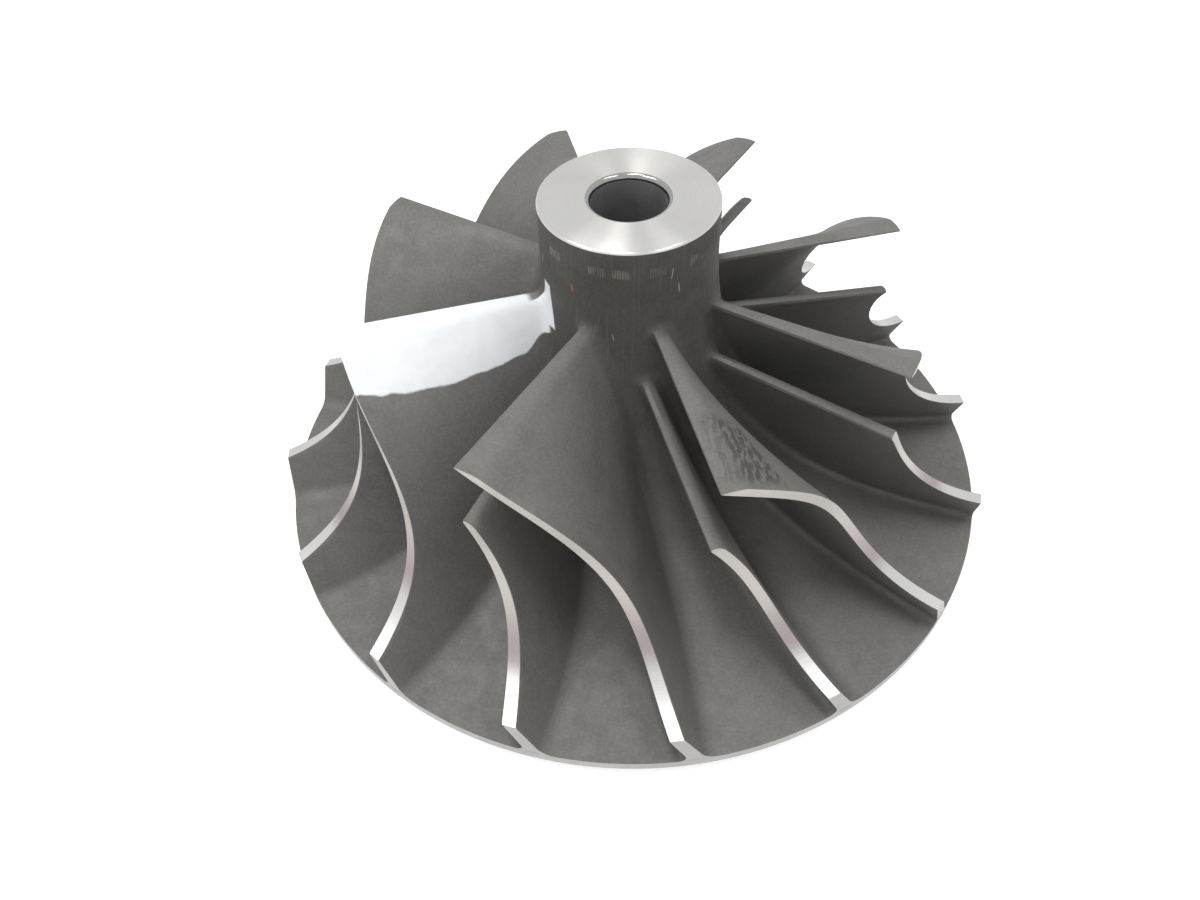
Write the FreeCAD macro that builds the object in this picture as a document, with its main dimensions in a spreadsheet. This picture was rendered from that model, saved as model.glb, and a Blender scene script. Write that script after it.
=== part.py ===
import FreeCAD, Part
import math
import os
import re
import Sketcher
from FreeCAD import Placement, Rotation, Vector

# Turbocharger compressor wheel: one solid, with full blades, splitter blades,
# a long nose, a flat back with a boss, and a through bore.
# Millimetres and degrees. Z is the shaft axis, and the air comes in from above.
# The origin is on the axis, in the flat face of the boss under the disc.
# The hub curve and the twisted blades are made of short flat steps, which keeps
# the model light. The counts under "Steps" set how fine they are.

DIMENSIONS = {
    # Disc, back and boss
    "exducer_diameter": 102,
    "rim_thickness": 1.4,
    "boss_diameter": 28,
    "boss_height": 1.4,
    # Nose and bore
    "nose_diameter": 22.6,
    "nose_length": 45.6,           # rim's upper edge to the nose face
    "nose_chamfer": 0.3,
    "bore_diameter": 9.5,
    "bore_chamfer": 0.7,
    # Hub curve, from the nose down and out to the rim
    "curve_height": 40.8,          # rim's upper edge to the start of the curve
    "curve_pull": 5,               # how far the curve follows the nose
    "rim_pull": 40.85,             # how far it follows the rim
    # Outline that the blade tips follow, from the inlet to the exit
    "inducer_diameter": 75.8,
    "inlet_height": 33.5,
    "inlet_pull": 7.8,
    "exit_height": 5.5,
    "exit_pull": 16.3,
    "exit_slope": 13.5,
    # Blades: angles about the axis, counted from the tip at the inlet
    "blade_pairs": 8,
    "first_blade_angle": 16.2,
    "tip_angle_early": 28.9,
    "tip_angle_late": 30.5,
    "tip_angle_exit": 34.8,
    "root_angle_inlet": 1.1,
    "root_angle_early": 32.6,
    "root_angle_late": 40.6,
    "root_angle_exit": 37.9,
    "tip_thickness_inlet": 0.9,
    "tip_thickness_exit": 1.6,
    "root_thickness_inlet": 1.5,
    "root_thickness_exit": 1.9,
    "root_flare": 0.9,             # spread of the blade's foot, and its height
    "blade_root_start": 0.215,     # share of the hub curve above the blade roots
    "splitter_tip_start": 0.335,   # share of a full blade that a splitter lacks
    "splitter_root_start": 0.17,
    # Steps
    "curve_steps": 7,
    "blade_steps": 10,
    "splitter_steps": 6,
    "span_steps": 2,
}

RIM_TOP = "boss_height + rim_thickness"
NOSE_TOP = "boss_height + rim_thickness + nose_length"
CURVE_TOP = "boss_height + rim_thickness + curve_height"

# Poles of the hub curve, each a radius and a height
HUB_CURVE = [
    ("nose_diameter / 2", CURVE_TOP),
    ("nose_diameter / 2", f"{CURVE_TOP} - curve_pull"),
    ("exducer_diameter / 2 - rim_pull", RIM_TOP),
    ("exducer_diameter / 2", RIM_TOP),
]

ROOT_DEPTH = 0.8         # blade's foot sunk into the hub
EXIT_OVERRUN = 0.04      # share of the blade past the exducer, turned away
NOSE_SHARE = 0.35        # thickness of a blade's leading edge against the rest
FLOW_SHARE = 0.001       # step in place that gives the flow's direction


def make_sheet(doc):
    sheet = doc.addObject("Spreadsheet::Sheet", "Dimensions")
    for row, (name, value) in enumerate(DIMENSIONS.items(), start=1):
        sheet.set(f"A{row}", name)
        sheet.set(f"B{row}", str(value))
        sheet.setAlias(f"B{row}", name)
    doc.recompute()
    return sheet


def bound(formula):
    """A formula in dimension names, as an expression on the sheet's cells."""
    return re.sub(r"[a-z]\w*", lambda name: f"Dimensions.{name.group()}", formula)


def value(sheet, formula):
    return float(sheet.evalExpression(bound(formula)))


# Hub: a turned body

def curve_formulas(share):
    """Radius and height of the hub curve at a share of its run, as formulas."""
    rest = 1 - share
    weights = [rest**3, 3 * rest**2 * share, 3 * rest * share**2, share**3]
    radius = " + ".join(f"{weight:.9f} * ({pole[0]})" for weight, pole in zip(weights, HUB_CURVE))
    height = " + ".join(f"{weight:.9f} * ({pole[1]})" for weight, pole in zip(weights, HUB_CURVE))
    return radius, height


def hub_outline(sheet):
    """Corners of the hub's half section, each a formula for radius and height."""
    steps = int(sheet.curve_steps)
    corners = [
        ("bore_diameter / 2", "bore_chamfer"),
        ("bore_diameter / 2 + bore_chamfer", "0"),
        ("boss_diameter / 2", "0"),
        ("boss_diameter / 2", "boss_height"),
        ("exducer_diameter / 2", "boss_height"),
    ]
    corners += [curve_formulas(1 - step / steps) for step in range(steps + 1)]
    corners += [
        ("nose_diameter / 2", f"{NOSE_TOP} - nose_chamfer"),
        ("nose_diameter / 2 - nose_chamfer", NOSE_TOP),
        ("bore_diameter / 2 + bore_chamfer", NOSE_TOP),
        ("bore_diameter / 2", f"{NOSE_TOP} - bore_chamfer"),
    ]
    return corners


def draw_outline(sketch, corners):
    """Closed outline of lines whose corners are bound to the sheet."""
    points = []
    for radius, height in corners:
        points.append(Vector(sketch.evalExpression(bound(radius)), sketch.evalExpression(bound(height)), 0))
    count = len(points)
    for index in range(count):
        sketch.addGeometry(Part.LineSegment(points[index], points[(index + 1) % count]))
    for index in range(count):
        sketch.addConstraint(Sketcher.Constraint("Coincident", index, 2, (index + 1) % count, 1))
    for index, (radius, height) in enumerate(corners):
        across = sketch.addConstraint(Sketcher.Constraint("DistanceX", -1, 1, index, 1, points[index].x))
        sketch.setExpression(f"Constraints[{across}]", bound(radius))
        if height == "0":
            sketch.addConstraint(Sketcher.Constraint("PointOnObject", index, 1, -1))
        else:
            up = sketch.addConstraint(Sketcher.Constraint("DistanceY", -1, 1, index, 1, points[index].y))
            sketch.setExpression(f"Constraints[{up}]", bound(height))


def make_hub(doc, sheet):
    body = doc.addObject("PartDesign::Body", "Hub")
    sketch = body.newObject("Sketcher::SketchObject", "HubSection")
    plane = next(item for item in body.Origin.OriginFeatures if item.Role == "XZ_Plane")
    sketch.AttachmentSupport = [(plane, "")]
    sketch.MapMode = "FlatFace"
    doc.recompute()
    draw_outline(sketch, hub_outline(sheet))
    turning = body.newObject("PartDesign::Revolution", "HubTurning")
    turning.Profile = sketch
    turning.ReferenceAxis = (sketch, ["V_Axis"])
    turning.Angle = 360
    sketch.Visibility = False
    doc.recompute()
    return body


# Blades: twisted walls of flat facets, from the hub curve to the tip outline

def curve_value(poles, place):
    """Point, or number, at a place from 0 to 1 along a Bezier curve."""
    values = list(poles)
    while len(values) > 1:
        values = [a + (b - a) * place for a, b in zip(values, values[1:])]
    return values[0]


def hub_poles(sheet):
    return [Vector(value(sheet, radius), 0, value(sheet, height)) for radius, height in HUB_CURVE]


def tip_poles(sheet):
    inlet = sheet.inducer_diameter / 2
    outer = sheet.exducer_diameter / 2
    rim_top = value(sheet, RIM_TOP)
    exit_top = rim_top + sheet.exit_height
    rise = sheet.exit_pull * math.tan(math.radians(sheet.exit_slope))
    return [
        Vector(inlet, 0, rim_top + sheet.inlet_height),
        Vector(inlet, 0, rim_top + sheet.inlet_height - sheet.inlet_pull),
        Vector(outer - sheet.exit_pull, 0, exit_top + rise),
        Vector(outer, 0, exit_top),
    ]


def on_blade(sheet, side, place):
    """Point of the blade's middle surface, at its root or at its tip."""
    if side == "root":
        first = sheet.blade_root_start
        flat = curve_value(hub_poles(sheet), first + (1 - first) * place)
        angles = [sheet.root_angle_inlet, sheet.root_angle_early, sheet.root_angle_late, sheet.root_angle_exit]
    else:
        flat = curve_value(tip_poles(sheet), place)
        angles = [0, sheet.tip_angle_early, sheet.tip_angle_late, sheet.tip_angle_exit]
    turn = sheet.first_blade_angle + curve_value(angles, place)
    return Rotation(Vector(0, 0, 1), turn).multVec(flat)


def blade_line(sheet, side, place):
    """Middle point and flow direction at a place along the root or the tip."""
    before = on_blade(sheet, side, place - FLOW_SHARE)
    after = on_blade(sheet, side, place + FLOW_SHARE)
    return on_blade(sheet, side, place), (after - before).normalize()


def between(first, last, share):
    return first + (last - first) * share


def turned_aside(point, flow, up, half):
    """The point, turned about the axis until it is half a thickness off the middle."""
    radius = math.hypot(point.x, point.y)
    around = Vector(-point.y, point.x, 0) / radius
    facing = abs(flow.cross(up).normalize().dot(around))
    return Rotation(Vector(0, 0, 1), math.degrees(half / facing / radius)).multVec(point)


def blade_ring(sheet, root_place, tip_place, fullness):
    """Corners around the blade at one station, up one flank and down the other."""
    root, root_flow = blade_line(sheet, "root", root_place)
    tip, tip_flow = blade_line(sheet, "tip", tip_place)
    up = (tip - root).normalize()
    root_half = between(sheet.root_thickness_inlet, sheet.root_thickness_exit, root_place) / 2
    tip_half = between(sheet.tip_thickness_inlet, sheet.tip_thickness_exit, tip_place) / 2
    steps = int(sheet.span_steps)
    flanks = []
    for sign in (1, -1):
        foot = turned_aside(root, root_flow, up, sign * root_half * fullness)
        top = turned_aside(tip, tip_flow, up, sign * tip_half * fullness)
        height = (top - foot).Length
        outward = Vector(-foot.y, foot.x, 0).normalize() * sign
        sunk = between(foot, top, -ROOT_DEPTH / height) + outward * (sheet.root_flare + ROOT_DEPTH)
        flare_top = sheet.root_flare / height
        wall = [between(foot, top, between(flare_top, 1, step / steps)) for step in range(steps + 1)]
        flanks.append([sunk] + wall)
    return flanks[0] + flanks[1][::-1]


def facet(*corners):
    return Part.Face(Part.makePolygon(list(corners) + [corners[0]]))


def faceted_solid(rings):
    """Closed solid of flat triangles over rings with the same number of corners."""
    count = len(rings[0])
    faces = []
    for near, far in zip(rings, rings[1:]):
        for index in range(count):
            following = (index + 1) % count
            faces.append(facet(near[index], near[following], far[following]))
            faces.append(facet(near[index], far[following], far[index]))
    for ring in (rings[0], rings[-1]):
        for index in range(1, count // 2):
            faces.append(facet(ring[index - 1], ring[index], ring[count - 1 - index]))
            faces.append(facet(ring[index - 1], ring[count - 1 - index], ring[count - index]))
    shell = Part.Shell(faces)
    shell.sewShape()
    solid = Part.Solid(shell)
    if solid.Volume < 0:
        solid.reverse()
    return solid


def blade_blank(sheet, steps, root_start, tip_start):
    """A blade that runs a little past the exducer, with a slimmer leading edge."""
    rings = []
    for step in range(steps + 1):
        share = step / steps
        root_place = between(root_start, 1 + EXIT_OVERRUN, share)
        tip_place = between(tip_start, 1 + EXIT_OVERRUN, share)
        rings.append(blade_ring(sheet, root_place, tip_place, 1 if step else NOSE_SHARE))
    return faceted_solid(rings)


def make_exducer(doc):
    """Cylinder that the blades are turned down to."""
    exducer = doc.addObject("Part::Cylinder", "Exducer")
    exducer.setExpression("Radius", bound("exducer_diameter / 2"))
    exducer.setExpression("Height", bound(NOSE_TOP))
    return exducer


def turned_blade(doc, name, blank_shape, exducer):
    blank = doc.addObject("Part::Feature", f"{name}Blank")
    blank.Shape = blank_shape
    blade = doc.addObject("Part::Common", name)
    blade.Base = blank
    blade.Tool = exducer
    blade.Refine = False
    return blade


def blade_copies(doc, sheet, blade, offset):
    """Copies of a blade around the axis, offset by a share of the pitch."""
    pitch = 360 / sheet.blade_pairs
    copies = []
    for index in range(int(sheet.blade_pairs)):
        copy = doc.addObject("Part::Feature", f"{blade.Name}{index + 1}")
        copy.Shape = blade.Shape
        copy.Placement = Placement(Vector(), Rotation(Vector(0, 0, 1), (index + offset) * pitch))
        copies.append(copy)
    return copies


def make_wheel(doc):
    sheet = make_sheet(doc)
    hub = make_hub(doc, sheet)
    exducer = make_exducer(doc)
    full_shape = blade_blank(sheet, int(sheet.blade_steps), 0, 0)
    full = turned_blade(doc, "FullBlade", full_shape, exducer)
    splitter_shape = blade_blank(
        sheet, int(sheet.splitter_steps), sheet.splitter_root_start, sheet.splitter_tip_start
    )
    splitter = turned_blade(doc, "SplitterBlade", splitter_shape, exducer)
    doc.recompute()
    wheel = doc.addObject("Part::MultiFuse", "Wheel")
    wheel.Label = "compressor_wheel"
    wheel.Shapes = [hub] + blade_copies(doc, sheet, full, 0) + blade_copies(doc, sheet, splitter, 0.5)
    wheel.Refine = False
    doc.recompute()
    return wheel


def check(doc, pieces):
    for item in doc.Objects:
        if "Invalid" in item.State or "Error" in item.State:
            raise RuntimeError(f"{item.Label} did not compute: {item.State}")
    for piece in pieces:
        shape = piece.Shape
        if shape.isNull() or not shape.isValid():
            raise RuntimeError(f"{piece.Label} has no valid shape")
        print(piece.Label, "solids", len(shape.Solids), "faces", len(shape.Faces), "mm3", round(shape.Volume))


def main():
    doc = FreeCAD.newDocument("CompressorWheel")
    pieces = [make_wheel(doc)]
    check(doc, pieces)
    os.makedirs("parts", exist_ok=True)
    for piece in pieces:
        piece.Shape.exportStep(f"parts/{piece.Label}.step")


main()
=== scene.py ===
import math

import bmesh
import bpy
from mathutils import Matrix, Quaternion, Vector


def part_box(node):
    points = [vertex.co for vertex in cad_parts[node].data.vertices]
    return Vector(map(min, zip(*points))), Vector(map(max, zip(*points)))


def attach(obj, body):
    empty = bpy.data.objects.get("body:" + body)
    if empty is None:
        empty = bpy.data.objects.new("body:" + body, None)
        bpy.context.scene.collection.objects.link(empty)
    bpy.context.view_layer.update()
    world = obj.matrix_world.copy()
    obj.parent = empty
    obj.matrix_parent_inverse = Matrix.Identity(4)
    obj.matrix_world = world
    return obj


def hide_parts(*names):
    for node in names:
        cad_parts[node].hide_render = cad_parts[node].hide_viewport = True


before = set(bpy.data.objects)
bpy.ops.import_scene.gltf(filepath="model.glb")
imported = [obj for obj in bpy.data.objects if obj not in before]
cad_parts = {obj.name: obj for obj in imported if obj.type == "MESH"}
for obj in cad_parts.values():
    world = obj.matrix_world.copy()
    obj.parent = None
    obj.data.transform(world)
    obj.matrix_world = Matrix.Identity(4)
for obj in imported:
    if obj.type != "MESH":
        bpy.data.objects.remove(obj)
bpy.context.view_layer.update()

# Compressor wheel: one closed mesh that stands for the CAD solid, with rounded
# leading edges, root fillets and a smooth hub curve. Lengths in the
# dictionaries are in millimetres and angles in degrees.

mm = 0.001
wheelNode = "compressor_wheel"
upAxis = Vector((0, 0, 1))

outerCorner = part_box(wheelNode)[1]
outerRadius = outerCorner.x / mm
topHeight = outerCorner.z / mm

hub = {
    "rimThickness": 1.4,
    "rimEdge": 0.12,
    "bossRadius": 14,
    "bossHeight": 1.4,
    "bossEdge": 0.3,
    "noseRadius": 11.3,
    "noseEdge": 0.3,
    "boreRadius": 4.75,
    "boreEdge": 0.7,              # depth of the rounds at both ends of the bore
    "mouthEdge": 0.6,             # width of the one in the nose face
    "curveHeight": 40.8,          # rim to the start of the curve
    "curvePull": 5,               # how far the curve follows the nose
    "rimPull": 40.85,             # how far the curve follows the rim
    "columns": 16,                # faces across half a pitch
    "footColumns": 2,             # faces from the middle of a blade's foot to its side
    "footFade": 9.0,              # run above a blade in which its foot's outline fades out
    "highestFoot": 0.02,          # share of a row's place that a foot can't be drawn past
    "curveRows": (10, 12, 40),    # above the blades, to the splitters, to the rim
    "sideRows": 5,                # from the nose's edge to the curve
    "backRows": 5,
    "boreRows": 6,
    "mouthSteps": 8,
    "noseSteps": 3,
    "boreSteps": 4,               # in the round at the back
}

blade = {
    "pairs": 8,
    "firstAngle": 16.2,
    "inletRadius": 37.9,
    "inletHeight": 33.5,
    "inletPull": 7.8,
    "exitHeight": 5.5,
    "exitPull": 16.3,
    "exitSlope": 13.5,
    "tipWraps": (0, 28.9, 30.5, 34.8),
    "rootWraps": (1.1, 32.6, 40.6, 37.9),
    "tipThickness": (1.2, 1.6),   # inlet, exit
    "rootThickness": (1.5, 1.9),
    "noseLength": (0.75, 0.5),    # half length of the leading edge's round, root and tip
    "rootStart": 0.215,           # place on the hub curve where full blades start
    "splitterTipStart": 0.335,    # share of a full blade that a splitter lacks
    "splitterRootStart": 0.17,
    "fillet": 1.3,
    "filletSteps": 5,
    "spanSteps": 12,
    "tipEdge": 0.07,
    "leastWidth": 0.2,            # where a blade is thinner, its tip edge isn't drawn in
}

sharpAngle = 32       # edges that bend more are shaded sharp
weldDistance = 0.0005
smallStep = 0.001     # step in place that gives a curve's direction

rimTop = hub["bossHeight"] + hub["rimThickness"]
halfPitch = 180 / blade["pairs"]


# Curves of the wheel's half section; a place runs from 0 to 1 along a curve

def onCurve(poles, place):
    values = list(poles)
    while len(values) > 1:
        values = [a + (b - a) * place for a, b in zip(values, values[1:])]
    return values[0]


def mix(first, last, share):
    return first + (last - first) * share


hubPoles = [
    Vector((hub["noseRadius"], rimTop + hub["curveHeight"])),
    Vector((hub["noseRadius"], rimTop + hub["curveHeight"] - hub["curvePull"])),
    Vector((outerRadius - hub["rimPull"], rimTop)),
    Vector((outerRadius, rimTop)),
]
exitTop = rimTop + blade["exitHeight"]
exitRise = blade["exitPull"] * math.tan(math.radians(blade["exitSlope"]))
tipPoles = [
    Vector((blade["inletRadius"], rimTop + blade["inletHeight"])),
    Vector((blade["inletRadius"], rimTop + blade["inletHeight"] - blade["inletPull"])),
    Vector((outerRadius - blade["exitPull"], exitTop + exitRise)),
    Vector((outerRadius, exitTop)),
]


def spunPoint(flat, angle):
    turn = math.radians(angle)
    return Vector((flat.x * math.cos(turn), flat.x * math.sin(turn), flat.y))


def rootPlace(place):
    return mix(blade["rootStart"], 1, place)      # blade place to hub curve place


def rootPoint(place, angle):
    wrap = onCurve(blade["rootWraps"], place)
    return spunPoint(onCurve(hubPoles, rootPlace(place)), angle + wrap)


def tipPoint(place, angle):
    return spunPoint(onCurve(tipPoles, place), angle + onCurve(blade["tipWraps"], place))


def flowAt(pointAt, place, angle):
    run = pointAt(place + smallStep, angle) - pointAt(place - smallStep, angle)
    return run.normalized()


def evenPlaces(first, last, count):
    # places that cut the hub curve into runs of even length
    fine = 400
    places = [mix(first, last, step / fine) for step in range(fine + 1)]
    lengths = [0.0]
    for a, b in zip(places, places[1:]):
        lengths.append(lengths[-1] + (onCurve(hubPoles, b) - onCurve(hubPoles, a)).length)
    found = []
    for step in range(count + 1):
        wanted = lengths[-1] * step / count
        index = min(range(fine + 1), key=lambda k: abs(lengths[k] - wanted))
        found.append(places[index])
    found[0] = first
    found[-1] = last
    return found


# Blades: flank points from the root to the tip

def bladeStarts(isSplitter):
    # places at which the root and the tip begin
    if isSplitter:
        return blade["splitterRootStart"], blade["splitterTipStart"]
    return 0, 0


def noseShift(pointAt, start, length, angle):
    # share of the blade that the rounded leading edge takes
    reach = 0.01
    run = (pointAt(start + reach, angle) - pointAt(start, angle)).length / reach
    return length / run


def flankSlant(point, flow, up):
    # how squarely a flank faces round the axis, and the radius there
    radius = math.hypot(point.x, point.y)
    around = Vector((-point.y, point.x, 0)) / radius
    return abs(flow.cross(up).normalized().dot(around)), radius


def flankEnds(share, around, angle, isSplitter):
    # the root and the tip point of one line up the flank; around is -90 to 90
    rootStart, tipStart = bladeStarts(isSplitter)
    side = math.sin(math.radians(around))
    ahead = math.cos(math.radians(around))
    ends = []
    for pointAt, start, thickness, noseLength in (
        (rootPoint, rootStart, blade["rootThickness"], blade["noseLength"][0]),
        (tipPoint, tipStart, blade["tipThickness"], blade["noseLength"][1]),
    ):
        first = start + noseShift(pointAt, start, noseLength, angle)
        place = mix(first, 1, share)
        half = mix(thickness[0], thickness[1], place) / 2
        ends.append((pointAt(place, angle), flowAt(pointAt, place, angle), half, noseLength))
    up = (ends[1][0] - ends[0][0]).normalized()
    points = []
    for middle, flow, half, noseLength in ends:
        facing, radius = flankSlant(middle, flow, up)
        turn = Quaternion(upAxis, side * half / facing / radius)
        points.append(turn @ middle - flow * noseLength * ahead)
    return points


def footHalfAngle(place):
    # half the width of a blade's foot with its fillets, as an angle about the axis
    share = (place - blade["rootStart"]) / (1 - blade["rootStart"])
    root = rootPoint(share, 0)
    up = (tipPoint(share, 0) - root).normalized()
    facing, radius = flankSlant(root, flowAt(rootPoint, share, 0), up)
    half = mix(blade["rootThickness"][0], blade["rootThickness"][1], share) / 2
    return math.degrees((half + blade["fillet"]) / facing / radius)


# Hub: rows from the bore's mouth over the nose, down the curve, round the back and up the bore

def arcRows(centre, width, height, first, last, steps):
    rows = []
    for step in range(steps + 1):
        turn = math.radians(mix(first, last, step / steps))
        rows.append(centre + Vector((math.cos(turn) * width, math.sin(turn) * height)))
    return rows


def lineRows(start, end, steps):
    # points along a straight run, without its start
    rows = []
    for step in range(1, steps + 1):
        share = step / steps
        rows.append(Vector((mix(start[0], end[0], share), mix(start[1], end[1], share))))
    return rows


def hubRows():
    # a row's finish is that of the faces between it and the row before
    nose, noseEdge = hub["noseRadius"], hub["noseEdge"]
    bore, boreEdge, mouthEdge = hub["boreRadius"], hub["boreEdge"], hub["mouthEdge"]
    boss, bossHeight, bossEdge = hub["bossRadius"], hub["bossHeight"], hub["bossEdge"]
    backEdge = outerRadius - hub["rimEdge"]
    rows = []

    def add(points, finish):
        for point in points:
            rows.append({"at": point, "finish": finish, "place": None})

    mouth = Vector((bore + mouthEdge, topHeight - boreEdge))
    add(arcRows(mouth, mouthEdge, boreEdge, 180, 90, hub["mouthSteps"]), "mouth")
    add([Vector((mix(bore + mouthEdge, nose - noseEdge, 0.5), topHeight))], "turned")
    shoulder = Vector((nose - noseEdge, topHeight - noseEdge))
    add(arcRows(shoulder, noseEdge, noseEdge, 90, 0, hub["noseSteps"]), "turned")
    curveTop = rimTop + hub["curveHeight"]
    side = lineRows((nose, topHeight - noseEdge), (nose, curveTop), hub["sideRows"])
    add(side[:-1], "cast")

    heads = []
    for isSplitter in (False, True):
        start = bladeStarts(isSplitter)[0]
        shift = noseShift(rootPoint, start, blade["noseLength"][0], 0)
        heads.append(rootPlace(start + shift))
    above, between, below = hub["curveRows"]
    places = evenPlaces(0, heads[0], above)
    places += evenPlaces(heads[0], heads[1], between)[1:]
    places += evenPlaces(heads[1], 1, below)[1:]
    fullRow = len(rows) + above
    for place in places:
        rows.append({"at": onCurve(hubPoles, place), "finish": "cast", "place": place})
    keyRows = {"full": fullRow, "splitter": fullRow + between, "rim": len(rows) - 1}

    rim = [Vector((outerRadius, bossHeight + hub["rimEdge"])), Vector((backEdge, bossHeight))]
    add(rim, "rim")
    back = lineRows((backEdge, bossHeight), (boss + bossEdge, bossHeight), hub["backRows"])
    add(back, "back")
    add([Vector((boss, bossHeight - bossEdge)), Vector((boss, bossEdge))], "back")
    add([Vector((boss - bossEdge, 0))], "back")
    foot = Vector((bore + boreEdge, boreEdge))
    add(arcRows(foot, boreEdge, boreEdge, 270, 180, hub["boreSteps"]), "turned")
    bottom = rows[-1]["at"].y
    add(lineRows((bore, bottom), (bore, topHeight - boreEdge), hub["boreRows"]), "bore")
    return rows, keyRows


def smoothShare(value):
    value = min(max(value, 0), 1)
    return value * value * (3 - 2 * value)


def layHub(bm, rows, keyRows, layers):
    # a flat grid is rolled into the hub, with its columns along the blades' feet
    columns = hub["columns"]
    foot = hub["footColumns"]
    count = 2 * blade["pairs"] * columns
    lastRow = len(rows) - 1
    bmesh.ops.create_grid(bm, x_segments=count, y_segments=lastRow, size=1)
    for face in bm.faces:
        middle = face.calc_center_median()
        face[layers["row"]] = int((middle.y + 1) / 2 * lastRow)
        face[layers["column"]] = int((middle.x + 1) / 2 * count)
    grid = {}
    for vert in bm.verts:
        grid[round((vert.co.y + 1) / 2 * lastRow), round((vert.co.x + 1) / 2 * count)] = vert

    step = halfPitch / columns
    evenFoot = foot * step
    backRun = outerRadius - hub["bossRadius"]
    startTwist = blade["firstAngle"] + blade["rootWraps"][0]
    exitTwist = blade["firstAngle"] + blade["rootWraps"][3]
    # at the bore the columns have turned by a whole number of faces
    endTwist = startTwist + round((blade["rootWraps"][3] - blade["rootWraps"][0]) / step) * step
    rimFoot = footHalfAngle(1)
    heads = {}
    for isSplitter in (False, True):
        index = keyRows["splitter" if isSplitter else "full"]
        angle = footHalfAngle(rows[index]["place"])
        heads[isSplitter] = {"row": index, "at": rows[index]["at"], "angle": angle}

    def backShare(row):
        return min((outerRadius - row["at"].x) / backRun, 1)

    def twistAt(index):
        place = rows[index]["place"]
        if place is None and index < keyRows["full"]:
            return startTwist
        if place is None:
            return mix(exitTwist, endTwist, backShare(rows[index]))
        share = max((place - blade["rootStart"]) / (1 - blade["rootStart"]), 0)
        return blade["firstAngle"] + onCurve(blade["rootWraps"], share)

    def footAt(index, isSplitter):
        # half angle of the foot, how far its nose is drawn up, and how round it is
        head = heads[isSplitter]
        row = rows[index]
        if index > keyRows["rim"]:
            return mix(rimFoot, evenFoot, backShare(row)), 0, 0
        if index > head["row"]:
            return footHalfAngle(row["place"]), 0, 0
        fade = 1 - min((row["at"] - head["at"]).length / hub["footFade"], 1)
        ahead = (blade["fillet"] + blade["noseLength"][0]) * fade
        return mix(evenFoot, head["angle"], smoothShare(fade)), ahead, fade

    def drawnUp(row, back):
        # the row's point, moved up the hub curve by a length
        place = row["place"]
        slope = (onCurve(hubPoles, place + smallStep) - row["at"]).length / smallStep
        return onCurve(hubPoles, max(place - back / slope, hub["highestFoot"] * place))

    twists = [twistAt(index) for index in range(len(rows))]
    feet = [(footAt(index, False), footAt(index, True)) for index in range(len(rows))]
    for (index, column), vert in grid.items():
        number, across = divmod(column, columns)
        across -= columns // 2
        row = rows[index]
        flat = row["at"]
        centre = twists[index] + number * halfPitch
        width, ahead, fade = feet[index][number % 2]
        besideWidth = feet[index][1 - number % 2][0]
        if abs(across) <= foot:
            around = math.radians(90 * across / foot)
            angle = centre + width * mix(across / foot, math.sin(around), fade)
            if ahead and row["place"] is not None:
                flat = drawnUp(row, ahead * math.cos(around))
        elif across > foot:
            share = (across - foot) / (columns - 2 * foot)
            angle = mix(centre + width, centre + halfPitch - besideWidth, share)
        else:
            share = (across + columns - foot) / (columns - 2 * foot)
            angle = mix(centre - halfPitch + besideWidth, centre - width, share)
        vert.co = spunPoint(flat, angle)
    return grid


# Wheel: the hub's grid is opened at each foot, and each blade is pulled up from the opening

# each finish's place in the wheel's list of materials
finishes = {"cast": 0, "tip": 1, "turned": 2, "rim": 3, "back": 3, "bore": 4, "mouth": 5}


def edgesAlong(bm, verts):
    return [bm.edges.get((a, b)) for a, b in zip(verts, verts[1:])]


def openFeet(bm, rows, keyRows, layers):
    columns = hub["columns"]
    foot = hub["footColumns"]
    opened = []
    for face in bm.faces:
        number, across = divmod(face[layers["column"]], columns)
        across -= columns // 2
        head = keyRows["splitter" if number % 2 else "full"]
        face.material_index = finishes[rows[face[layers["row"]] + 1]["finish"]]
        if -foot <= across < foot and head <= face[layers["row"]] < keyRows["rim"]:
            opened.append(face)
    bmesh.ops.delete(bm, geom=opened, context="FACES")


def bladeLevels():
    # levels from the foot to the tip: the kind of each, and its share of that kind's run
    fillet, span = blade["filletSteps"], blade["spanSteps"]
    levels = [("fillet", step / fillet) for step in range(1, fillet + 1)]
    levels += [("flank", step / span) for step in range(1, span)]
    return levels + [("edge", 1), ("tip", 1)]


def levelPoint(kind, share, start, line, oppositeTop):
    # where a vertex of one level goes, and its span on the blade
    foot, top = line["foot"], line["top"]
    height = (top - foot).length
    rise = blade["fillet"] / height
    if kind == "fillet":
        turn = math.radians(90 * share)
        wall = foot.lerp(top, rise)
        out, up = 1 - math.sin(turn), 1 - math.cos(turn)
        return foot + (start - foot) * out + (wall - foot) * up, rise * up
    if kind == "flank":
        span = mix(rise, 1, share)
        return foot.lerp(top, span), span
    if kind == "edge":
        return foot.lerp(top, 1 - blade["tipEdge"] / height), 1
    inward = oppositeTop - top
    if inward.length > blade["leastWidth"]:
        return top + inward.normalized() * blade["tipEdge"], 1
    return top, 1


def raisedLine(bm, verts):
    # a fresh line of vertices above the last one, in the same order
    made = bmesh.ops.extrude_edge_only(bm, edges=edgesAlong(bm, verts))["geom"]
    fresh = {item for item in made if isinstance(item, bmesh.types.BMVert)}
    above = []
    for vert in verts:
        beside = [edge.other_vert(vert) for edge in vert.link_edges]
        above.append(next(other for other in beside if other in fresh))
    return above


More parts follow.
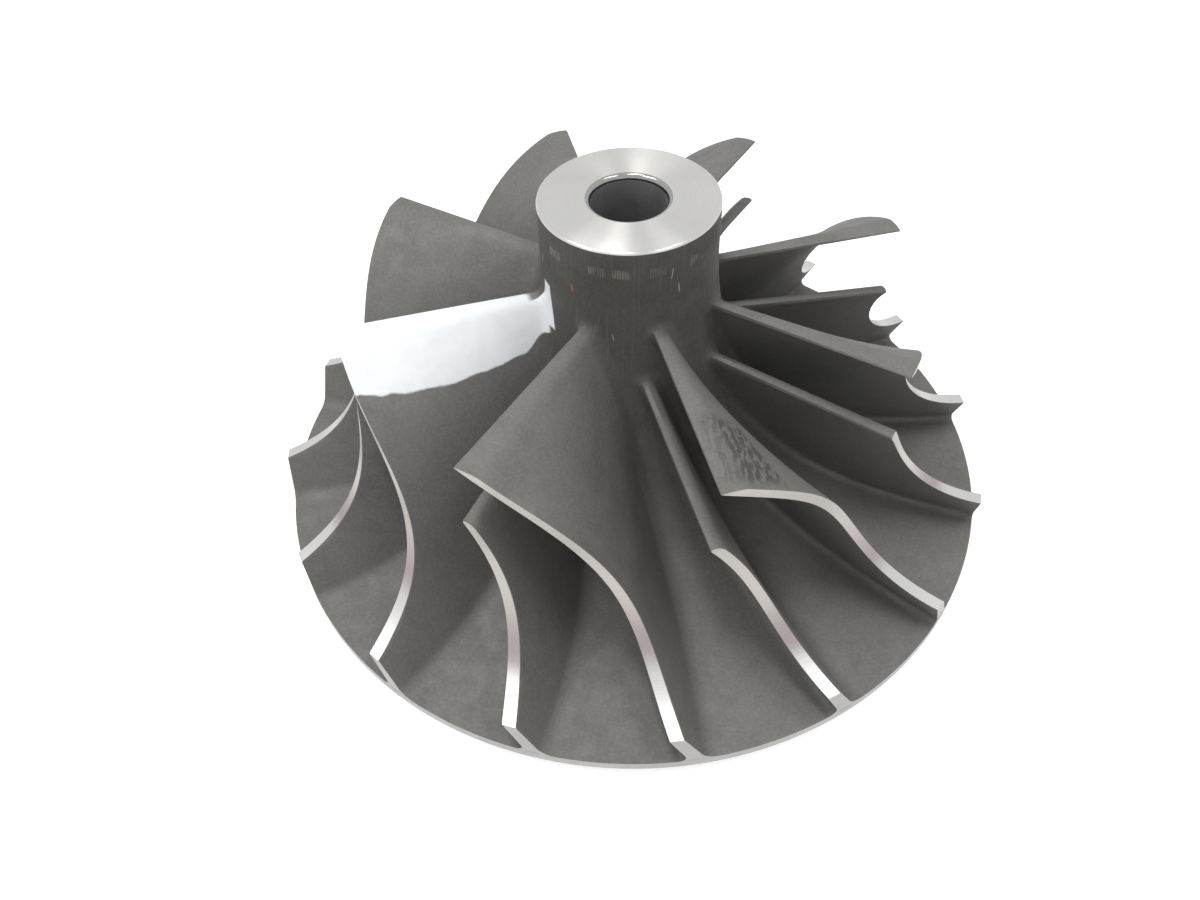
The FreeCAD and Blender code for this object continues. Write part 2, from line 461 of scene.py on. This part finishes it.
def pullBlade(bm, grid, rows, keyRows, number, layers):
    columns = hub["columns"]
    side = hub["footColumns"]
    isSplitter = number % 2 == 1
    angle = blade["firstAngle"] + number * halfPitch
    head = keyRows["splitter" if isSplitter else "full"]
    rim = keyRows["rim"]
    # round the foot: up one side, about the nose and down the other side
    chain = [(row, -side) for row in range(rim, head, -1)]
    chain += [(head, across) for across in range(-side, side + 1)]
    chain += [(row, side) for row in range(head + 1, rim + 1)]
    middle = number * columns + columns // 2
    verts = [grid[row, middle + across] for row, across in chain]
    headPlace = rows[head]["place"]
    lines = []
    for (row, across), vert in zip(chain, verts):
        share = (rows[row]["place"] - headPlace) / (1 - headPlace)
        foot, top = flankEnds(share, 90 * across / side, angle, isSplitter)
        lines.append({"foot": foot, "top": top, "place": share, "start": vert.co.copy()})
        vert[layers["place"]] = share
    stack = [verts]
    for kind, share in bladeLevels():
        verts = raisedLine(bm, verts)
        for vert, line, opposite in zip(verts, lines, reversed(lines)):
            start = line["start"]
            vert.co, vert[layers["span"]] = levelPoint(kind, share, start, line, opposite["top"])
            vert[layers["place"]] = line["place"]
        stack.append(verts)
    return stack


def bridge(bm, edges, finish):
    for face in bmesh.ops.bridge_loops(bm, edges=edges)["faces"]:
        face.material_index = finishes[finish]


def closeBlade(bm, stack):
    top = stack[-1]
    side = len(top) // 2 - hub["footColumns"] + 1
    bridge(bm, edgesAlong(bm, top[:side]) + edgesAlong(bm, top[-side:]), "tip")
    exits = []
    for index in (0, -1):
        exits += edgesAlong(bm, [line[index] for line in stack[1:]])
    bridge(bm, exits, "rim")


def sortParts(bm):
    # extruding leaves its parts in an order that changes from run to run
    slant = Vector((1, 0.618, 0.271))
    bm.verts.sort(key=lambda vert: vert.co.dot(slant))
    bm.edges.sort(key=lambda edge: (edge.verts[0].co + edge.verts[1].co).dot(slant))
    bm.faces.sort(key=lambda face: face.calc_center_median().dot(slant))


def closeSeams(bm):
    # the grid's seam and the bore's two ends are welded, and what is still open is filled
    exitBand = 0.5
    bmesh.ops.remove_doubles(bm, verts=bm.verts, dist=weldDistance)
    sortParts(bm)
    rims = [edge for edge in bm.edges if edge.is_boundary]
    for face in bmesh.ops.holes_fill(bm, edges=rims, sides=0)["faces"]:
        middle = face.calc_center_median()
        isExit = math.hypot(middle.x, middle.y) > outerRadius - exitBand
        face.material_index = finishes["rim" if isExit else "tip"]
    bmesh.ops.recalc_face_normals(bm, faces=bm.faces)


def shadeWheel(bm, layers):
    for face in bm.faces:
        face.smooth = True
        for loop in face.loops:
            loop[layers["uv"]].uv = (loop.vert[layers["place"]], loop.vert[layers["span"]])
    for edge in bm.edges:
        onTip = [face.material_index == finishes["tip"] for face in edge.link_faces]
        isFlat = edge.calc_face_angle() < math.radians(sharpAngle)
        edge.smooth = onTip[0] == onTip[1] and isFlat


def makeWheel():
    bm = bmesh.new()
    layers = {
        "row": bm.faces.layers.int.new("row"),
        "column": bm.faces.layers.int.new("column"),
        "place": bm.verts.layers.float.new("place"),
        "span": bm.verts.layers.float.new("span"),
        "uv": bm.loops.layers.uv.new("bladeUv"),
    }
    rows, keyRows = hubRows()
    grid = layHub(bm, rows, keyRows, layers)
    openFeet(bm, rows, keyRows, layers)
    print("hub rows", len(rows), "faces", len(bm.faces))
    for number in range(2 * blade["pairs"]):
        closeBlade(bm, pullBlade(bm, grid, rows, keyRows, number, layers))
    closeSeams(bm)
    openEdges = sum(edge.is_boundary for edge in bm.edges)
    print("blades", 2 * blade["pairs"], "faces", len(bm.faces), "open edges", openEdges)
    shadeWheel(bm, layers)
    bmesh.ops.scale(bm, vec=(mm, mm, mm), verts=bm.verts)
    mesh = bpy.data.meshes.new("compressorWheel")
    bm.to_mesh(mesh)
    bm.free()
    wheel = bpy.data.objects.new("compressorWheel", mesh)
    bpy.context.scene.collection.objects.link(wheel)
    return wheel


# Nodes: lengths in the node trees are in millimetres, worked out from Object coordinates

noiseLevels = (0.3, 0.7)              # most of a noise texture's values lie between these


def newMaterial(name):
    material = bpy.data.materials.new(name)
    material.use_nodes = True
    return material, material.node_tree, material.node_tree.nodes["Principled BSDF"]


def newNode(tree, kind, settings=None, inputs=None):
    node = tree.nodes.new(kind)
    for name, value in (settings or {}).items():
        setattr(node, name, value)
    for name, value in (inputs or {}).items():
        if isinstance(value, bpy.types.NodeSocket):
            tree.links.new(value, node.inputs[name])
        else:
            node.inputs[name].default_value = value
    return node


def calc(tree, operation, first, second=0.0, clamp=False):
    settings = {"operation": operation, "use_clamp": clamp}
    return newNode(tree, "ShaderNodeMath", settings, {0: first, 1: second}).outputs[0]


def product(tree, *values):
    result = values[0]
    for value in values[1:]:
        result = calc(tree, "MULTIPLY", result, value)
    return result


def vectorCalc(tree, operation, first, second=None):
    inputs = {0: first} if second is None else {0: first, 1: second}
    return newNode(tree, "ShaderNodeVectorMath", {"operation": operation}, inputs)


def combine(tree, x, y=0.0):
    return newNode(tree, "ShaderNodeCombineXYZ", inputs={0: x, 1: y}).outputs[0]


def remap(tree, value, low, high, newLow=0.0, newHigh=1.0):
    inputs = {
        "Value": value, "From Min": low, "From Max": high, "To Min": newLow, "To Max": newHigh,
    }
    settings = {"interpolation_type": "SMOOTHSTEP"}
    return newNode(tree, "ShaderNodeMapRange", settings, inputs).outputs[0]


def fadeOut(tree, value, low, high):
    return remap(tree, value, low, high, 1.0, 0.0)


def risesAt(tree, value, level, soft):
    return remap(tree, value, level - soft, level + soft)


def fallsAt(tree, value, level, soft):
    return fadeOut(tree, value, level - soft, level + soft)


def inWindow(tree, value, low, high, soft):
    return product(tree, risesAt(tree, value, low, soft), fallsAt(tree, value, high, soft))


def noise(tree, vector, scale, detail, roughness=0.5):
    inputs = {"Vector": vector, "Scale": scale, "Detail": detail, "Roughness": roughness}
    return newNode(tree, "ShaderNodeTexNoise", inputs=inputs).outputs[0]


def patches(tree, vector, scale, detail, roughness, levels, most):
    # soft-edged patches of noise, between the two levels, up to a greatest share
    return remap(tree, noise(tree, vector, scale, detail, roughness), *levels, 0.0, most)


def blendColours(tree, share, first, second, kind="MIX"):
    node = newNode(tree, "ShaderNodeMix", {"data_type": "RGBA", "blend_type": kind})
    for index, value in ((0, share), (6, first), (7, second)):
        if isinstance(value, bpy.types.NodeSocket):
            tree.links.new(value, node.inputs[index])
        else:
            node.inputs[index].default_value = value if index == 0 else value + (1,)
    return node.outputs[2]


def addBump(tree, shader, height, strength, depth):
    inputs = {"Height": height, "Strength": strength, "Distance": depth * mm}
    bump = newNode(tree, "ShaderNodeBump", inputs=inputs)
    tree.links.new(bump.outputs[0], shader.inputs["Normal"])


def wheelPlaces(tree):
    # where a point is on the wheel: millimetres, degrees, and place and span on a blade
    coords = newNode(tree, "ShaderNodeTexCoord")
    scaling = {0: coords.outputs["Object"], "Scale": 1 / mm}
    scaled = newNode(tree, "ShaderNodeVectorMath", {"operation": "SCALE"}, scaling)
    point = scaled.outputs[0]
    x, y, height = newNode(tree, "ShaderNodeSeparateXYZ", inputs={0: point}).outputs
    radius = vectorCalc(tree, "LENGTH", combine(tree, x, y)).outputs["Value"]
    angle = product(tree, calc(tree, "ARCTAN2", y, x), math.degrees(1))
    cross = vectorCalc(tree, "CROSS_PRODUCT", tuple(upAxis), point)
    around = vectorCalc(tree, "NORMALIZE", cross.outputs[0]).outputs[0]
    normal = newNode(tree, "ShaderNodeNewGeometry").outputs["Normal"]
    uvMap = newNode(tree, "ShaderNodeUVMap", {"uv_map": "bladeUv"})
    uv = newNode(tree, "ShaderNodeSeparateXYZ", inputs={0: uvMap.outputs[0]})
    return {
        "point": point,
        "radius": radius,
        "angle": angle,
        "height": height,
        "across": vectorCalc(tree, "CROSS_PRODUCT", normal, around).outputs[0],
        "facing": vectorCalc(tree, "DOT_PRODUCT", normal, around).outputs["Value"],
        "place": uv.outputs[0],
        "span": uv.outputs[1],
    }


# White marking paint along one blade's inlet edge

paintLook = {
    "white": (0.92, 0.955, 0.975),
    "thin": (0.77, 0.80, 0.82),
    "thinPatches": {
        "scale": 0.22, "detail": 4.0, "roughness": 0.6, "levels": (0.35, 0.75), "most": 0.6,
    },
    "thinRoot": 0.45,                 # how much thinner the coat is towards the root
    "coatDepth": 2.5,                 # step at the paint's edge, in grains of the casting
    "angles": (-173, -142),           # window about the axis
    "angleSoft": 0.2,
    "lowest": (27.5, 27.8),           # heights between which the paint begins
    "facings": (-0.35, -0.15),        # keeps the paint off the blade's other side
    "spans": (0.001, 0.01),           # keeps it off the hub
    "lengths": (0.118, 0.132),        # place where the patch ends at the root and at the tip
    "lengthSoft": 0.004,
    "bulge": 0.16,
    "rootCut": 0.035,                 # how far the end draws back at the root
    "rootCutSpan": 0.14,
    "edge": {"scale": 0.35, "detail": 3.0},
    "ragged": 0.025,
}

# a smear on the nose beside it, and a strip at the blade's root where the paint is left off so
# that it shows dark: painted shadow of the nose and its fillet
smearLook = {
    "angles": (-158.5, -142.6),
    "heights": (33.7, 39.4),
    "level": 34.0,                    # height at which the smear's edge is at its angle
    "lean": 1.5,                      # degrees to each millimetre of height
    "ragged": 120.0,                  # degrees to each unit of the ragged edge
    "rootShadowAngles": (-173.5, -159.0),
    "rootShadowFoot": 34.4,
    "radii": (13.0, 14.0),            # both end between them
    "angleSoft": 0.5,
    "heightSoft": 0.2,
}


def patchMask(tree, at, wobble):
    look = paintLook
    rootLength, tipLength = look["lengths"]
    bulge = product(tree, at["span"], calc(tree, "SUBTRACT", 1.0, at["span"]), look["bulge"])
    length = calc(tree, "ADD", product(tree, at["span"], tipLength - rootLength), rootLength)
    last = calc(tree, "ADD", calc(tree, "ADD", bulge, length), wobble)
    rootCut = remap(tree, at["span"], 0.0, look["rootCutSpan"], look["rootCut"], 0.0)
    last = calc(tree, "SUBTRACT", last, rootCut)
    ahead = risesAt(tree, calc(tree, "SUBTRACT", last, at["place"]), 0.0, look["lengthSoft"])
    onBlade = remap(tree, at["span"], *look["spans"])
    window = inWindow(tree, at["angle"], *look["angles"], look["angleSoft"])
    high = remap(tree, at["height"], *look["lowest"])
    side = remap(tree, at["facing"], *look["facings"])
    return product(tree, ahead, onBlade, window, high, side)


def smearMask(tree, at, wobble):
    look = smearLook
    leftAngle, rightAngle = look["angles"]
    rise = calc(tree, "SUBTRACT", at["height"], look["level"])
    lean = product(tree, rise, look["lean"])
    ragged = product(tree, wobble, look["ragged"])
    leaning = calc(tree, "ADD", calc(tree, "ADD", at["angle"], lean), ragged)
    right = fallsAt(tree, leaning, rightAngle, look["angleSoft"])
    left = risesAt(tree, at["angle"], leftAngle, look["angleSoft"])
    tall = inWindow(tree, at["height"], *look["heights"], look["heightSoft"])
    return product(tree, right, left, tall, fadeOut(tree, at["radius"], *look["radii"]))


# painted shadow: the paint is kept off a strip at the blade's root beside the nose
def rootShadowMask(tree, at):
    look = smearLook
    window = inWindow(tree, at["angle"], *look["rootShadowAngles"], look["angleSoft"])
    high = risesAt(tree, at["height"], look["rootShadowFoot"], look["heightSoft"])
    return product(tree, window, high, fadeOut(tree, at["radius"], *look["radii"]))


def paintMask(tree, at):
    edge = noise(tree, at["point"], **paintLook["edge"])
    wobble = product(tree, calc(tree, "SUBTRACT", edge, 0.5), paintLook["ragged"])
    both = calc(tree, "MAXIMUM", patchMask(tree, at, wobble), smearMask(tree, at, wobble))
    # less the painted shadow at the blade's root
    return product(tree, both, calc(tree, "SUBTRACT", 1.0, rootShadowMask(tree, at)))


# Dark rubbed blotches on one blade's inlet corner

inkLook = {
    "colour": (0.02, 0.02, 0.02),
    "blots": {
        "scale": 1.5, "detail": 3.0, "roughness": 0.6, "levels": (0.42, 0.52), "most": 0.62,
    },
    "turn": (0.4, 0.5, 0.2),          # in radians
    "stretch": (1.5, 0.35, 0.5),
    "angles": (-83, -62),
    "angleSoft": 0.5,
    "places": (0.0, 0.145),
    "placeSoft": 0.02,
    "spans": (0.56, 0.96),
    "spanSoft": 0.04,
    "lowest": (28.5, 29.0),           # heights between which the blotches begin
    "facings": (-0.1, 0.1),
}


def inkMask(tree, at):
    look = inkLook
    inputs = {"Vector": at["point"], "Rotation": look["turn"], "Scale": look["stretch"]}
    strokes = newNode(tree, "ShaderNodeMapping", inputs=inputs).outputs[0]
    length = inWindow(tree, at["place"], *look["places"], look["placeSoft"])
    width = inWindow(tree, at["span"], *look["spans"], look["spanSoft"])
    window = inWindow(tree, at["angle"], *look["angles"], look["angleSoft"])
    high = remap(tree, at["height"], *look["lowest"])
    side = remap(tree, at["facing"], *look["facings"])
    blots = patches(tree, strokes, **look["blots"])
    return product(tree, length, width, window, high, side, blots)


# Small marks and plain scribed ticks round the nose

noseSkin = (12.0, 12.5)               # radii between which the nose's marks end

noseMarks = (
    # angle, height, half width, half height, turn and colour
    (-127.5, 41.7, 0.28, 0.8, 8, (0.28, 0.12, 0.05)),
    (-58.5, 42.2, 0.10, 0.9, 6, (0.42, 0.41, 0.39)),
    (-63.5, 44.6, 0.09, 1.0, -8, (0.42, 0.41, 0.39)),
    (-100.0, 36.0, 0.10, 0.7, 12, (0.30, 0.29, 0.27)),
    (-160.0, 42.5, 0.12, 0.9, -12, (0.34, 0.33, 0.31)),
)

tickLook = {
    "colour": (0.5, 0.46, 0.43),
    "worn": {
        "scale": 0.6, "detail": 2.0, "roughness": 0.5, "levels": (0.35, 0.6), "most": 0.34,
    },
    "heights": (44.7, 45.9),
    "heightSoft": 0.15,
    "groups": (-142, -110, -95, -73, -45),
    "halfWidth": 5.5,
    "groupSoft": 0.3,
    "pitch": 1.5,
    "gap": (0.15, 0.3),               # shares of the pitch between which a tick begins
}


def markMask(tree, at, angle, height, halfWidth, halfHeight, turn):
    degree = math.radians(1) * hub["noseRadius"]
    across = product(tree, calc(tree, "SUBTRACT", at["angle"], angle), degree)
    up = calc(tree, "SUBTRACT", at["height"], height)
    inputs = {
        "Vector": combine(tree, across, up),
        "Rotation": (0, 0, math.radians(turn)),
        "Scale": (halfWidth, halfHeight, 1),
    }
    placed = newNode(tree, "ShaderNodeMapping", {"vector_type": "TEXTURE"}, inputs).outputs[0]
    settings = {"gradient_type": "SPHERICAL"}
    spot = newNode(tree, "ShaderNodeTexGradient", settings, {0: placed}).outputs[1]
    near = fadeOut(tree, at["radius"], *noseSkin)
    return product(tree, remap(tree, spot, 0.0, 0.5), near)


def tickMask(tree, at):
    look = tickLook
    groups = 0.0
    for centre in look["groups"]:
        first, last = centre - look["halfWidth"], centre + look["halfWidth"]
        group = inWindow(tree, at["angle"], first, last, look["groupSoft"])
        groups = calc(tree, "ADD", groups, group)
    stripes = calc(tree, "PINGPONG", at["angle"], look["pitch"] / 2)
    stripes = remap(tree, stripes, *(look["pitch"] * share for share in look["gap"]))
    band = inWindow(tree, at["height"], *look["heights"], look["heightSoft"])
    near = fadeOut(tree, at["radius"], *noseSkin)
    worn = patches(tree, at["point"], **look["worn"])
    return product(tree, groups, stripes, band, near, worn)


# Cast skin of the hub and the blades, under the marks, the ink and the paint

castLook = {
    "dark": (0.150, 0.147, 0.139),
    "light": (0.174, 0.171, 0.162),
    "blotches": {
        "scale": 0.11, "detail": 4.0, "roughness": 0.6, "levels": noiseLevels, "most": 1.0,
    },
    "speckle": (0.25, 0.245, 0.235),
    "speckleLevels": (0.35, 0.7),
    "speckleShare": 0.3,
    "paintedNoseShade": (0.50, 0.47, 0.45),   # painted shade: multiplies the colour round the nose
    "noseRadii": (13.0, 32.0),        # the painted shade fades out between them
    "hubSpan": 0.07,                  # and below this span on the blades
    "streak": (0.15, 0.135, 0.12),
    "streaks": {
        "scale": 0.6, "detail": 3.0, "roughness": 0.65, "levels": (0.52, 0.75), "most": 0.5,
    },
    "streakSquash": 0.12,             # millimetres of height against degrees about the axis
    "metal": 0.25,
    "roughness": (0.62, 0.78),
    "rough": {"scale": 0.4, "detail": 3.0},
    "grain": {"scale": 2.6, "detail": 2.0},
    "grainDepth": 0.012,
    "bump": 0.6,
}


def noseShadeAndMarks(tree, at, colour):
    # painted shade round the nose and on the hub near it, deep between the blades, with streaks
    # there, the small marks and the ticks
    look = castLook
    onHub = fadeOut(tree, at["span"], 0.0, look["hubSpan"])
    # painted shade: how much darker the hub is, most round the nose
    share = product(tree, onHub, fadeOut(tree, at["radius"], *look["noseRadii"]))
    colour = blendColours(tree, share, colour, look["paintedNoseShade"], "MULTIPLY")
    streakAt = combine(tree, at["angle"], product(tree, at["height"], look["streakSquash"]))
    streaks = patches(tree, streakAt, **look["streaks"])
    colour = blendColours(tree, product(tree, streaks, share), colour, look["streak"])
    for *mark, markColour in noseMarks:
        colour = blendColours(tree, markMask(tree, at, *mark), colour, markColour)
    return blendColours(tree, tickMask(tree, at), colour, tickLook["colour"])


def coatColour(tree, at):
    coat = patches(tree, at["point"], **paintLook["thinPatches"])
    fromTip = calc(tree, "SUBTRACT", 1.0, at["span"])
    thin = calc(tree, "ADD", coat, product(tree, fromTip, paintLook["thinRoot"]), clamp=True)
    return blendColours(tree, thin, paintLook["white"], paintLook["thin"])


def castMaterial():
    look = castLook
    material, tree, shader = newMaterial("castAlloy")
    at = wheelPlaces(tree)
    blotches = patches(tree, at["point"], **look["blotches"])
    colour = blendColours(tree, blotches, look["dark"], look["light"])
    grain = noise(tree, at["point"], **look["grain"])
    speckles = remap(tree, grain, *look["speckleLevels"], 0.0, look["speckleShare"])
    colour = blendColours(tree, speckles, colour, look["speckle"])
    colour = noseShadeAndMarks(tree, at, colour)
    colour = blendColours(tree, inkMask(tree, at), colour, inkLook["colour"])
    paint = paintMask(tree, at)
    bare = calc(tree, "SUBTRACT", 1.0, paint)
    colour = blendColours(tree, paint, colour, coatColour(tree, at))
    rough = noise(tree, at["point"], **look["rough"])
    rough = remap(tree, rough, *noiseLevels, *look["roughness"])
    tree.links.new(colour, shader.inputs["Base Color"])
    tree.links.new(product(tree, bare, look["metal"]), shader.inputs["Metallic"])
    tree.links.new(rough, shader.inputs["Roughness"])
    step = product(tree, paint, paintLook["coatDepth"])
    relief = calc(tree, "ADD", product(tree, grain, bare), step)
    addBump(tree, shader, relief, look["bump"], look["grainDepth"])
    return material


# Surfaces cut on a lathe: fine rings that stretch the highlights

turnedLook = {
    "turnedFace": {
        "colour": (0.65, 0.645, 0.62), "roughness": (0.30, 0.34),
        "anisotropy": 0.93, "pitch": 0.16,
    },
    "turnedRim": {
        "colour": (0.42, 0.41, 0.40), "roughness": (0.34, 0.46),
        "anisotropy": 0.5, "pitch": 0.3,
    },
    # darker than the face: painted shade inside the bore
    "shadedTurnedBore": {
        "colour": (0.30, 0.30, 0.30), "roughness": (0.6, 0.7),
        "anisotropy": 0.2, "pitch": 0.3,
    },
    # darker than the face: painted shade on the bore's rounded mouth
    "shadedTurnedMouth": {
        "colour": (0.36, 0.36, 0.35), "roughness": (0.10, 0.14),
        "anisotropy": 0.0, "pitch": 0.16,
    },
}

# what they share
latheLook = {
    "groove": 0.9,                    # a groove's colour against a ridge's
    "rings": {"detail": 2.0, "roughness": 0.6},
    "wide": {"scale": 0.3, "detail": 3.0},
    "wideLevels": (0.35, 0.7),
    "wideShare": 0.25,
}


def shineAround(tree, shader, at, anisotropy):
    shader.inputs["Metallic"].default_value = 1.0
    shader.inputs["Anisotropic"].default_value = anisotropy
    tree.links.new(at["across"], shader.inputs["Tangent"])


def turnedMaterial(name):
    look = turnedLook[name]
    material, tree, shader = newMaterial(name)
    at = wheelPlaces(tree)
    run = combine(tree, calc(tree, "ADD", at["radius"], at["height"]))
    rings = noise(tree, run, 1 / look["pitch"], **latheLook["rings"])
    wide = noise(tree, at["point"], **latheLook["wide"])
    groove = tuple(channel * latheLook["groove"] for channel in look["colour"])
    colour = blendColours(tree, remap(tree, rings, *noiseLevels), groove, look["colour"])
    dull = remap(tree, wide, *latheLook["wideLevels"], 0.0, latheLook["wideShare"])
    colour = blendColours(tree, dull, colour, groove)
    rough = remap(tree, wide, *noiseLevels, *look["roughness"])
    tree.links.new(colour, shader.inputs["Base Color"])
    tree.links.new(rough, shader.inputs["Roughness"])
    shineAround(tree, shader, at, look["anisotropy"])
    return material


# Blade tips turned down to the outline: rings across the narrow land

tipLook = {
    "inlet": (0.50, 0.475, 0.44),
    "middle": (0.39, 0.335, 0.345),
    # lighter towards the exit: painted highlight
    "exit": (0.60, 0.595, 0.59),
    "toMiddle": (0.45, 0.71),         # places between which the colour changes
    "toExitHighlight": (0.72, 0.83),
    "groove": (0.32, 0.30, 0.29),
    "grooveLevels": (0.5, 0.75),
    "grooveShare": 0.35,
    "rings": {"scale": 3.0, "detail": 3.0, "roughness": 0.7},
    "ringDepth": 0.01,
    "bump": 0.3,
    "roughness": (0.30, 0.42),
    "anisotropy": 0.4,
}


def tipMaterial():
    look = tipLook
    material, tree, shader = newMaterial("turnedTip")
    at = wheelPlaces(tree)
    toMiddle = remap(tree, at["place"], *look["toMiddle"])
    toExitHighlight = remap(tree, at["place"], *look["toExitHighlight"])
    colour = blendColours(tree, toMiddle, look["inlet"], look["middle"])
    # painted highlight: the colour lightens towards the exit
    colour = blendColours(tree, toExitHighlight, colour, look["exit"])
    run = combine(tree, calc(tree, "SUBTRACT", at["radius"], at["height"]))
    rings = noise(tree, run, **look["rings"])
    grooves = remap(tree, rings, *look["grooveLevels"], 0.0, look["grooveShare"])
    colour = blendColours(tree, grooves, colour, look["groove"])
    rough = remap(tree, rings, *noiseLevels, *look["roughness"])
    tree.links.new(colour, shader.inputs["Base Color"])
    tree.links.new(rough, shader.inputs["Roughness"])
    shineAround(tree, shader, at, look["anisotropy"])
    addBump(tree, shader, rings, look["bump"], look["ringDepth"])
    return material


# Camera: it looks at the rim's centre, turned by pan, tilt and roll

view = {
    "distance": 153.95,
    "elevation": 47.811,
    "pan": 1.732,
    "tilt": 0.017,
    "roll": 0.260,
    "lens": 29.826,
    "sensor": 36,
}


def addCamera():
    data = bpy.data.cameras.new("camera")
    data.sensor_width = view["sensor"]
    data.lens = view["lens"]
    camera = bpy.data.objects.new("camera", data)
    bpy.context.scene.collection.objects.link(camera)
    rise = math.radians(view["elevation"])
    forward = Vector((0, math.cos(rise), -math.sin(rise)))
    right = Vector((1, 0, 0))
    up = right.cross(forward)
    pan = Quaternion(up, math.radians(view["pan"]))
    forward, right = pan @ forward, pan @ right
    tilt = Quaternion(right, math.radians(view["tilt"]))
    forward, up = tilt @ forward, tilt @ up
    roll = Quaternion(forward, math.radians(view["roll"]))
    right, up = roll @ right, roll @ up
    camera.rotation_euler = Matrix((right, up, -forward)).transposed().to_euler()
    toCamera = Vector((0, -math.cos(rise), math.sin(rise)))
    camera.location = (Vector((0, 0, rimTop)) + toCamera * view["distance"]) * mm
    bpy.context.scene.camera = camera


# Ceiling strips: lengths here are in metres and the power is in watts

lamps = {
    "stripLeft": {"place": (-0.33, -0.04, 0.60), "length": 0.34, "width": 0.10, "power": 1.00},
    "stripMiddle": {"place": (-0.085, -0.04, 0.66), "length": 0.30, "width": 0.09, "power": 1.45},
    "stripRight": {"place": (0.26, -0.04, 0.62), "length": 0.34, "width": 0.07, "power": 0.62},
}


def addLight(name, place, length, width, power):
    data = bpy.data.lights.new(name, "AREA")
    data.shape = "RECTANGLE"
    data.size = length
    data.size_y = width
    data.energy = power
    light = bpy.data.objects.new(name, data)
    light.location = place
    light.rotation_euler = (-Vector(place)).to_track_quat("-Z", "Y").to_euler()
    bpy.context.scene.collection.objects.link(light)


# Floor and sky: both show white, and light the wheel with less

stage = {
    "size": 3,                        # half width of the floor, in metres
    "glow": 0.7,                      # what the floor shows by itself
    "soft": 0.6,                      # and its colour, on which the shadow falls
    "bounce": 0.6,                    # colour of the light that it throws on the wheel
    "roughness": 0.9,
    "sky": 0.36,
    "skyLean": (-0.12, -0.20, 0.24),  # how much brighter the sky is along each axis
}


def seenDirectly(tree):
    path = newNode(tree, "ShaderNodeLightPath")
    seen = calc(tree, "MAXIMUM", path.outputs["Is Camera Ray"], path.outputs["Is Glossy Ray"])
    return calc(tree, "MAXIMUM", seen, path.outputs["Is Transmission Ray"])


def grey(level):
    return (level, level, level, 1)


def addFloor():
    bm = bmesh.new()
    bmesh.ops.create_grid(bm, x_segments=1, y_segments=1, size=stage["size"])
    mesh = bpy.data.meshes.new("floor")
    bm.to_mesh(mesh)
    bm.free()
    floor = bpy.data.objects.new("floor", mesh)
    bpy.context.scene.collection.objects.link(floor)
    material, tree, shader = newMaterial("paleFloor")
    shader.inputs["Base Color"].default_value = grey(stage["bounce"])
    shader.inputs["Roughness"].default_value = stage["roughness"]
    glow = newNode(tree, "ShaderNodeEmission", inputs={"Strength": stage["glow"]})
    soft = newNode(tree, "ShaderNodeBsdfDiffuse", inputs={"Color": grey(stage["soft"])})
    both = newNode(tree, "ShaderNodeAddShader", inputs={0: glow.outputs[0], 1: soft.outputs[0]})
    inputs = {0: seenDirectly(tree), 1: shader.outputs[0], 2: both.outputs[0]}
    choose = newNode(tree, "ShaderNodeMixShader", inputs=inputs)
    tree.links.new(choose.outputs[0], tree.nodes["Material Output"].inputs[0])
    mesh.materials.append(material)


def addSky():
    world = bpy.data.worlds.new("studio")
    bpy.context.scene.world = world
    world.use_nodes = True
    tree = world.node_tree
    background = tree.nodes["Background"]
    background.inputs["Color"].default_value = grey(1)
    toward = newNode(tree, "ShaderNodeTexCoord").outputs["Generated"]
    lean = vectorCalc(tree, "DOT_PRODUCT", toward, stage["skyLean"]).outputs["Value"]
    sky = calc(tree, "ADD", lean, stage["sky"])
    inputs = {"Value": seenDirectly(tree), "To Min": sky}
    strength = newNode(tree, "ShaderNodeMapRange", inputs=inputs)
    tree.links.new(strength.outputs[0], background.inputs["Strength"])


wheel = makeWheel()
wheel.data.materials.append(castMaterial())
wheel.data.materials.append(tipMaterial())
for name in turnedLook:
    wheel.data.materials.append(turnedMaterial(name))
print("materials", len(wheel.data.materials))
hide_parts(wheelNode)
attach(wheel, "root")

addFloor()
addSky()
for name, lamp in lamps.items():
    addLight(name, **lamp)
addCamera()
bpy.context.scene.view_settings.view_transform = "Standard"
print("floor, sky, lamps", len(lamps), "and camera")
